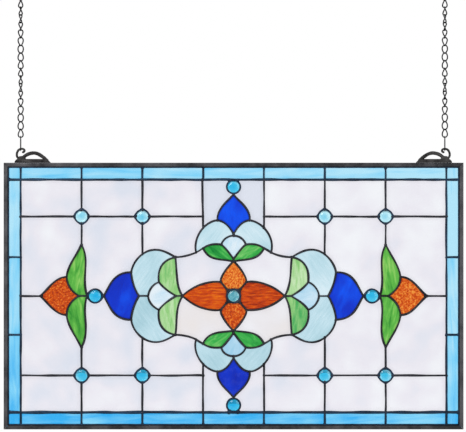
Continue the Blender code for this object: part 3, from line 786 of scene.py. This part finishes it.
# Runs an oval section along the points, closed to a ring where it has a centre. Its depth lies along guide,
# or points away from the centre where guide is None
def sweep(work, points, widths, depths, sides, centre=None, guide=Vector((0, 1, 0))):
    closed = centre is not None
    count = len(points)
    rings = []
    for index, point in enumerate(points):
        previous = points[(index - 1) % count] if closed or index > 0 else point
        following = points[(index + 1) % count] if closed or index < count - 1 else point
        along = (following - previous).normalized()
        lead = point - centre if closed and guide is None else guide
        upward = (lead - along * lead.dot(along)).normalized()
        across = along.cross(upward)
        verts = []
        for turn in hoop(sides, 0.5):
            sideways = across * (widths[index] / 2 * cos(turn))
            verts.append(work.verts.new(point + sideways + upward * (depths[index] / 2 * sin(turn))))
        rings.append(verts)
    joinRings(work, rings, closed)
    if not closed:
        for verts, point, other in ((rings[0], points[0], points[1]), (rings[-1], points[-1], points[-2])):
            tip = work.verts.new(point + (point - other).normalized() * widths[0] * 0.3)
            for step in range(sides):
                work.faces.new((verts[step], verts[(step + 1) % sides], tip))


leadLines = {
    "gridWidth": 4.2,
    "borderWidth": {1: 4.9, -1: 5.7},   # the top line and the bottom line of the border
    "sideWidth": 4.3,
    "flowerWidth": 4.1,
    "seamShare": 0.9,              # of the flowers' lines, where two halves of a petal or leaf meet
    "depth": 6.0,
    "step": 2.4,                   # length of one stretch of lead
    "sides": 12,
    "wander": 0.32,                # how far a hand-laid line strays
    "wanderScale": 0.022,
    "straightEnd": 3,              # stretches before it strays in full
    "swell": 0.16,                 # how much its width comes and goes
    "lean": {-1: (-1.7, -0.6), 1: (0.2, 0.6)},   # of the innermost uprights, at the top and at the bottom
    "thickPart": {"share": 1.2, "half": 8.0, "inward": 1.0},   # of the border's line, beside a gem
    "jointApart": 3.0,
    "blobWidth": 2.7,              # on a line 4 mm wide
    "blobDepth": 3.6,
    "blobSize": (0.75, 1.1),
    "blobStretch": (0.95, 1.3),
}


def leadRuns():
    runs = []   # look, width, points
    lipX = panel["width"] / 2 - frameBar["face"]
    lipZ = panel["height"] / 2 - frameBar["face"]
    grid, flower = leadLines["gridWidth"], leadLines["flowerWidth"]
    seam = flower * leadLines["seamShare"]
    thick, sideRow = leadLines["thickPart"], panel["sideRow"]
    stem = panel["stemStart"] - panel["stemOverlap"]

    def addLine(look, width, *corners):
        runs.append((look, width, spots(*corners)))

    for level in (1, -1):
        border = leadLines["borderWidth"][level]
        addLine("navyLead", border, (-lipX, level * borderZ), (lipX, level * borderZ))
        z = level * (borderZ - thick["inward"])
        addLine("navyLead", border * thick["share"], (-thick["half"], z), (thick["half"], z))
    for side in (-1, 1):
        addLine("navyLead", leadLines["sideWidth"], (side * upright4, -lipZ), (side * upright4, lipZ))
        addLine("blackLead", flower, (side * stem, 0), (side * upright4, 0))
    for side, level in quarters:
        for x, low, high in (
            (upright1, petalSide, borderZ), (upright2, petalTop, row - ring), (upright2, row + ring, borderZ),
            (upright3, leafTop - 1, row - ring), (upright3, row + ring, borderZ),
        ):
            lean = leadLines["lean"][side][level < 0] if x == upright1 else 0.0
            addLine("blackLead", grid, (side * x, level * low), (side * x + lean, level * high))
        for x in (upright1, upright2, upright3):
            addLine("navyLead", grid, (side * x, level * borderZ), (side * x, level * lipZ))
        for low, high in (
            (upright1, upright2 - ring), (upright2 + ring, upright3 - ring), (upright3 + ring, upright4),
        ):
            addLine("blackLead", grid, (side * low, level * row), (side * high, level * row))
        addLine("navyLead", grid, (side * upright4, level * sideRow), (side * lipX, level * sideRow))
        for run in (
            orangeEdge, outerLeafUpper, outerLeafLower, outerLeafInner, flameOuter, flameInner, petalOuter,
            lensArc, innerLeafOuter, innerLeafLower, innerLeafInner, shoulder, topLeafTip, topLeafUpper,
            topLeafInner, topLeafLower, topPetalOuter, topPetalInner, topLensArc, topFlame, flowerTopEdge,
            flowerSideEdge, flowerCorner,
        ):
            addLine("blackLead", flower, *flip(run, side, level))
    for side in (-1, 1):   # where the two halves of a petal or leaf meet
        for start, end in (
            (flameInner[-1], lensArc[0]), (innerLeafLower[-1], innerLeafInner[-1]),
            (outerLeafInner[-1], outerLeafLower[-1]),
        ):
            addLine("blackLead", seam, (side * start.x, 0), (side * end.x, 0))
        for start, end in ((topPetalInner[-1], topLensArc[-1]), (topLeafInner[-1], topLeafLower[-1])):
            addLine("blackLead", seam, (0, side * start.y), (0, side * end.y))
    return runs


def makeSolder(joints):
    for look in ("blackLead", "navyLead"):
        work = bmesh.new()
        for point, kind, width in joints:
            reach = leadLines["blobWidth"] * random.uniform(*leadLines["blobSize"]) * width / 4
            matrix = Matrix.Translation((point.x, 0, point.y)) @ Matrix.Rotation(random.uniform(0, 3), 4, "Y")
            longer = reach * random.uniform(*leadLines["blobStretch"])
            matrix = matrix @ Matrix.Diagonal((longer, leadLines["blobDepth"], reach, 1))
            if kind == look:
                bmesh.ops.create_icosphere(work, subdivisions=3, radius=1.0, matrix=matrix)
        place("solderJoints." + look, work, look, "leading")


def makeGemRings():
    work = bmesh.new()
    for label, x, z, node, tone, corners in beads:
        points = []
        widths = []
        for turn in hoop(gems["ringSides"]):
            lump = noise(Vector((cos(turn), sin(turn), x + z)))
            corner = (0.5 + 0.5 * cos(corners * turn)) ** 3 if corners else 0.0
            outer = gems["ringOuter"] + gems["flare"] * corner + gems["ringLump"] * lump
            inner = gems["ringInner"] + 0.2 * corner
            radius = (outer + inner) / 2
            points.append(Vector((x + radius * cos(turn), 0, z + radius * sin(turn))))
            widths.append(outer - inner)
        depths = [gems["ringDepth"]] * len(points)
        sweep(work, points, widths, depths, leadLines["sides"], Vector((x, 0, z)))
    place("gemRings", work, "navyLead", "leading")


centreBlock = {
    "overlap": 0.6,
    "section": ((-2.9, 1.2), (-2.2, 0.0), (2.2, 0.0), (2.9, 1.2)),   # depth, and how far the side draws in
    "steps": 48,
}


def makeCentreBlock():   # the square of lead round the middle gem
    half = panel["centreBlock"] + centreBlock["overlap"]
    steps = centreBlock["steps"]
    work = bmesh.new()
    rings = []
    for y, inset in centreBlock["section"]:
        outer = []
        inner = []
        for turn in hoop(steps, 0.5):
            c, s = cos(turn), sin(turn)
            reach = (half - inset) / max(abs(c), abs(s))
            outer.append(work.verts.new((reach * c, y, reach * s)))
            inner.append(work.verts.new((gems["ringInner"] * c, y, gems["ringInner"] * s)))
        rings.append((outer, inner))
    for index in range(steps):
        following = (index + 1) % steps
        for (outerA, innerA), (outerB, innerB) in zip(rings, rings[1:]):
            work.faces.new((outerA[index], outerA[following], outerB[following], outerB[index]))
            work.faces.new((innerA[index], innerB[index], innerB[following], innerA[following]))
        for outer, inner in (rings[0], rings[-1]):
            work.faces.new((outer[index], outer[following], inner[following], inner[index]))
    bmesh.ops.recalc_face_normals(work, faces=work.faces)
    place("centreBlock", work, "blackLead", "leading")


def makeLead():
    works = {"blackLead": bmesh.new(), "navyLead": bmesh.new()}
    scale, straight = leadLines["wanderScale"], leadLines["straightEnd"]
    joints = []
    for number, (look, width, run) in enumerate(leadRuns()):
        points = evenPoints(run, leadLines["step"])
        bars = []
        widths = []
        for index, point in enumerate(points):
            ease = min(1.0, index / straight, (len(points) - 1 - index) / straight)   # the ends stay in place
            spot = Vector((point.x * scale, point.y * scale, number * 3.7))   # each line strays its own way
            stray = Vector((noise(spot), 0, noise(spot + Vector((40, 0, 0)))))
            bars.append(Vector((point.x, 0, point.y)) + stray * leadLines["wander"] * 2 * ease)
            widths.append(width * (1 + leadLines["swell"] * 2 * noise(spot * 1.7)))
        depths = [leadLines["depth"] * (0.8 + 0.2 * w / width) for w in widths]
        sweep(works[look], bars, widths, depths, leadLines["sides"])
        for point in (run[0], run[-1]):
            if all((point - other).length > leadLines["jointApart"] for other, *rest in joints):
                joints.append((point, look, width))
    place("leadLines", works["blackLead"], "blackLead", "leading")
    place("borderLead", works["navyLead"], "navyLead", "leading")
    makeSolder(joints)
    makeGemRings()
    makeCentreBlock()


frameBar = {
    "face": 10.0,
    "flat": 7.4,           # the part of the face outside the dark line along the glass
    "depth": 12.0,
    "chamfer": 1.3,
    "wall": 3.0,
    "mitreGroove": 0.25,
    "glassPlay": 0.3,
    "step": 12.0,
    "unevenness": 0.12,
    "edgeDepth": 2.4,
    "edgeStep": 6.0,
    "edgeFront": 3.3,
    "edgeSides": 8,
    # Painted light: the left and right bars lighter, the top and bottom bars darker, as light falls on them
    "paintedLightAndTones": {"top": -0.03, "bottom": -0.05, "left": 0.05, "right": 0.11},
}


def boxSides(x, z):   # clockwise from the top
    corners = spots((-x, z), (x, z), (x, -z), (-x, -z))
    return zip(corners, corners[1:] + corners[:1])


def makeFrameBars():
    face, flat, wall = frameBar["face"], frameBar["flat"], frameBar["wall"]
    depth, chamfer, mitre = frameBar["depth"] / 2, frameBar["chamfer"], frameBar["mitreGroove"] / 2
    groove = panel["glassThickness"] / 2 + frameBar["glassPlay"]
    # From the outer side inward and back again: distance from the outer side, depth
    section = [
        (chamfer, -depth), (chamfer + 0.6, -depth - 0.12), (flat - 0.6, -depth - 0.12), (flat, -depth + 0.4),
        (flat + 0.3, -3.2), (face, -3.0), (face, -groove), (wall, -groove), (wall, groove), (face, groove),
        (face, 3.0), (flat + 0.3, 3.2), (flat, depth - 0.4), (flat - 0.6, depth), (chamfer, depth),
        (chamfer * 0.35, depth - chamfer * 0.3), (0, depth - chamfer), (0, chamfer - depth),
        (chamfer * 0.35, chamfer * 0.3 - depth),
    ]
    sides = boxSides(panel["width"] / 2, panel["height"] / 2)
    for label, (start, end) in zip(("top", "right", "bottom", "left"), sides):
        along = (end - start).normalized()
        inward = Vector((along.y, -along.x))
        length = (end - start).length
        count = round(length / frameBar["step"])
        work = bmesh.new()
        paintedLightLayer = work.verts.layers.float.new("shade")
        rings = []
        for step in range(count + 1):
            part = step / count
            verts = []
            for reach, y in section:
                run = reach + mitre + (length - 2 * reach - 2 * mitre) * part
                point = start + along * run + inward * reach
                lump = noise(Vector((point.x, y, point.y)) * 0.06) * frameBar["unevenness"]
                vert = work.verts.new((point.x, y + (lump if abs(y) > 2 else 0), point.y))
                # painted light on this bar
                vert[paintedLightLayer] = frameBar["paintedLightAndTones"][label]
                verts.append(vert)
            rings.append(verts)
        closeBar(work, rings)
        place("frameBar." + label, work, "frameMetal", "frame", smooth=False)


def makeEdgeDarkLine():   # a dark line inside the frame's flat face, front and back, along the glass
    face, flat = frameBar["face"], frameBar["flat"]
    inset = (flat + face) / 2 + 0.1
    work = bmesh.new()
    for y in (-frameBar["edgeFront"], frameBar["edgeFront"]):
        for ends in boxSides(panel["width"] / 2 - inset, panel["height"] / 2 - inset):
            points = [Vector((p.x, y, p.y)) for p in evenPoints(ends, frameBar["edgeStep"])]
            widths = [(face - flat) * (1.05 + 0.12 * noise(p * 0.1)) for p in points]
            sweep(work, points, widths, [frameBar["edgeDepth"]] * len(points), frameBar["edgeSides"])
    place("edgeDarkLine", work, "navyLead", "frame")


# Outlines are measured inward from the hanger's outer end and upward from the frame
hangers = {
    "outerEnd": {-1: 419.0, 1: 417.8},   # the right one sits a little further in
    "gap": 0.3,
    "plateDepth": 9.0,
    "plateMiddle": 34.5,
    "plateEdge": 0.8,          # how far from its faces the plate starts to draw in
    "faceHeight": 0.86,        # share of its height that is left at its faces
    "faceLength": 0.9958,
    "archStroke": 7.0,
    "archDepth": 7.5,
    "scrollStroke": 4.4,
    "scrollDepth": 5.2,
    "hammering": 0.12,
    "step": 1.2,
    "sides": 14,
    "scroll": (
        (15.2, 19.6), (18, 20.8), (19, 23.6), (16.4, 26), (12, 26.2), (7.4, 23.8), (4.6, 18), (4.8, 12),
        (8, 7.5), (12, 4),
    ),
    "arch": ((14, 4), (17, 10), (25.5, 16), (36, 18.4), (45, 16.6), (54.5, 10.6), (63, 3)),
    "plate": (
        (0, 0), (0.8, 2.8), (2.6, 5.2), (5, 6.7), (6.2, 8.6), (7.6, 11.2), (10, 12.2), (15.5, 12.8),
        (18.6, 12.2), (20.4, 9.2), (22.4, 7.0), (58, 6.9), (62, 6.3), (66, 3.4), (69, 0),
    ),
}


def smoothRun(corners, steps=8):   # a curve through every corner
    points = []
    last = len(corners) - 1
    for index in range(last):
        p0, p1, p2, p3 = (corners[min(max(index + shift, 0), last)] for shift in (-1, 0, 1, 2))
        for step in range(steps):
            t = step / steps
            square = (2 * p0 - 5 * p1 + 4 * p2 - p3) * t * t
            cube = (3 * p1 - p0 - 3 * p2 + p3) * t ** 3
            points.append(0.5 * ((2 * p1) + (p2 - p0) * t + square + cube))
    points.append(corners[-1])
    return points


def makeHangers():
    topZ = panel["height"] / 2 + hangers["gap"]
    half, edge, centre = hangers["plateDepth"] / 2, hangers["plateEdge"], hangers["plateMiddle"]
    hammering = hangers["hammering"]
    for side in (-1, 1):
        def spot(inward, height, y=0.0):
            return Vector((side * (hangers["outerEnd"][side] - inward), y, topZ + height))
        work = bmesh.new()
        for name in ("scroll", "arch"):
            points = evenPoints(smoothRun([spot(*p) for p in hangers[name]]), hangers["step"])
            marks = [hammering * noise(p * 0.3) for p in points]
            deepMarks = [hammering * noise(p * 0.3 + Vector((9, 9, 9))) for p in points]
            widths = [hangers[name + "Stroke"] * (1 + mark) for mark in marks]
            depths = [hangers[name + "Depth"] * (1 + mark) for mark in deepMarks]
            sweep(work, points, widths, depths, hangers["sides"])
        place("hangerScroll." + sideNames[side], work, "castMetal", "hanger_" + sideNames[side])
        work = bmesh.new()
        rings = []
        faceLong, faceHigh = hangers["faceLength"], hangers["faceHeight"]
        for y, long, high in (
            (-half, faceLong, faceHigh), (edge - half, 1, 1), (half - edge, 1, 1), (half, faceLong, faceHigh),
        ):
            rings.append([
                work.verts.new(spot(centre + (inward - centre) * long, height * high, y))
                for inward, height in hangers["plate"]
            ])
        closeBar(work, rings)
        place("hangerPlate." + sideNames[side], work, "castMetal", "hanger_" + sideNames[side])


chains = {
    "spacing": 813.0,
    "shift": {-1: -0.8, 1: -2.4},   # both hang a little to the left of their place
    "links": 19,
    "linkLength": 18.2,
    "linkWidth": 12.8,
    "wire": 2.6,
    "pitch": 14.6,
    "twist": -90.0,            # degrees from the bottom of a link to its top
    "turn": 20.0,              # degrees from one link to the next
    "firstTurn": -29.4,
    "firstHeight": 311.4,
    "bluntness": 0.8,          # below 1 a link's ends are blunter than an oval's
    "linkSteps": 32,
    "loopWire": 1.3,
    "loopBottom": 276.9,
    "loopTop": 306.6,
    "loopWidth": 16.0,
    "loopSteps": 40,
    "wireSides": 8,
    "ringHeight": 589.2,
    "ringRadius": 11.0,
    "ringWire": 2.6,
    "ringSteps": 56,
    "ringSides": 12,
}


def blunt(value):
    return copysign(abs(value) ** chains["bluntness"], value)


def bendWire(work, points, wire, sides, centre):
    sweep(work, points, [wire] * len(points), [wire] * len(points), sides, centre, None)


def makeChains():
    wire, loopWire, ringWire = chains["wire"], chains["loopWire"], chains["ringWire"]
    halfWidth = (chains["linkWidth"] - wire) / 2
    halfLength = (chains["linkLength"] - wire) / 2
    for side in (-1, 1):
        x = side * chains["spacing"] / 2 + chains["shift"][side]
        word = sideNames[side]
        work = bmesh.new()
        for number in range(chains["links"]):
            centre = Vector((x, 0, chains["firstHeight"] + chains["pitch"] * number))
            turn = radians(chains["firstTurn"] + chains["turn"] * number)
            points = []
            for angle in hoop(chains["linkSteps"]):
                reach = halfWidth * blunt(cos(angle))
                rise = blunt(sin(angle))
                heading = turn + radians(chains["twist"]) / 2 * rise
                points.append(centre + Vector((
                    reach * cos(heading), reach * sin(heading), halfLength * rise,
                )))
            bendWire(work, points, wire, chains["wireSides"], centre)
        place("chain." + word, work, "chainMetal", "chain_" + word)
        work = bmesh.new()
        centre = Vector((x, 0, (chains["loopBottom"] + chains["loopTop"]) / 2))
        reach = (chains["loopWidth"] - loopWire) / 2
        rise = (chains["loopTop"] - chains["loopBottom"] - loopWire) / 2
        turns = hoop(chains["loopSteps"])
        points = [centre + Vector((0, reach * cos(turn), rise * sin(turn))) for turn in turns]
        bendWire(work, points, loopWire, chains["wireSides"], centre)
        place("wireLoop." + word, work, "chainMetal", "wire_loop_" + word)
        work = bmesh.new()
        centre = Vector((x, 0, chains["ringHeight"]))
        reach = chains["ringRadius"] - ringWire / 2
        turns = hoop(chains["ringSteps"])
        points = [centre + Vector((reach * cos(turn), 0, reach * sin(turn))) for turn in turns]
        bendWire(work, points, ringWire, chains["ringSides"], centre)
        place("endRing." + word, work, "chainMetal", "end_ring_" + word)


# The stage is in metres
stage = {
    "floorBelow": 0.75,        # the panel's centre
    "floor": ((-7, -8), (7, -8), (7, 4.2), (-7, 4.2)),
    "floorTints": ((0.74, 0.74, 0.75), (0.82, 0.82, 0.83)),
    "behindCamera": 0.32,      # light from there, so that the metal keeps its shape
    "behindPanel": 1.0,
    "lamps": (("keyLight", (-1.0, -1.9, 0.75), 26.0, 1.2), ("fillLight", (1.7, -2.0, 0.1), 15.0, 1.6)),
    "aimAbove": 0.1,
}


def makeFloor():
    mesh = bpy.data.meshes.new("floor")
    z = middle.z - stage["floorBelow"]
    mesh.from_pydata([(x, y, z) for x, y in stage["floor"]], [], [(0, 1, 2, 3)])
    floor = addObject("floor", mesh)
    material, tree, shader = newMaterial("paleFloor")
    shader.inputs["Roughness"].default_value = 0.8
    speckle = addNode(tree, "TexNoise", (-600, 0), {"Scale": 3.0})
    dark, light = stage["floorTints"]
    colour = addRamp(tree, (-400, 0), speckle.outputs["Fac"], (0.0, dark), (1.0, light))
    tree.links.new(colour, shader.inputs["Base Color"])
    mesh.materials.append(material)


def makeLight():
    world = bpy.data.worlds.new("studio")
    bpy.context.scene.world = world
    world.use_nodes = True
    tree = world.node_tree
    sky = tree.nodes["Background"]
    sky.inputs["Color"].default_value = (1, 1, 1, 1)
    look = addNode(tree, "TexCoord", (-900, 0))
    split = addNode(tree, "SeparateXYZ", (-700, 0), {"Vector": look.outputs["Generated"]})
    strength = addNode(tree, "MapRange", (-500, 0), {
        "Value": split.outputs["Y"], "From Min": -0.6, "From Max": 0.5,
        "To Min": stage["behindCamera"], "To Max": stage["behindPanel"],
    }, interpolation_type="SMOOTHSTEP")
    tree.links.new(strength.outputs["Result"], sky.inputs["Strength"])
    for label, spot, power, size in stage["lamps"]:
        light = bpy.data.lights.new(label, "AREA")
        light.energy = power
        light.size = size
        lamp = addObject(label, light)
        lamp.location = spot
        aim = middle + Vector((0, 0, stage["aimAbove"])) - Vector(spot)
        lamp.rotation_euler = aim.to_track_quat("-Z", "Y").to_euler()


camera = {"x": -1.1, "z": 153.0, "distance": 4500.0, "seenWidth": 891.5, "sensor": 36.0}


def makeCamera():
    view = bpy.data.cameras.new("photoView")
    view.sensor_width = camera["sensor"]
    view.lens = camera["sensor"] * camera["distance"] / camera["seenWidth"]
    viewer = addObject("photoView", view)
    viewer.location = middle + Vector((camera["x"], -camera["distance"], camera["z"])) * mm
    viewer.rotation_euler = (pi / 2, 0, 0)
    bpy.context.scene.camera = viewer
    bpy.context.scene.view_settings.view_transform = "Standard"


print("Border and clear glass")
makeBorderGlass()
makeClearGlass()
print("Flower glass and gems")
makeFlowerGlass()
makeBeads()
print("Lead and frame")
makeLead()
makeFrameBars()
makeEdgeDarkLine()
print("Hangers and chains")
makeHangers()
makeChains()
print("Stage and camera")
makeFloor()
makeLight()
makeCamera()
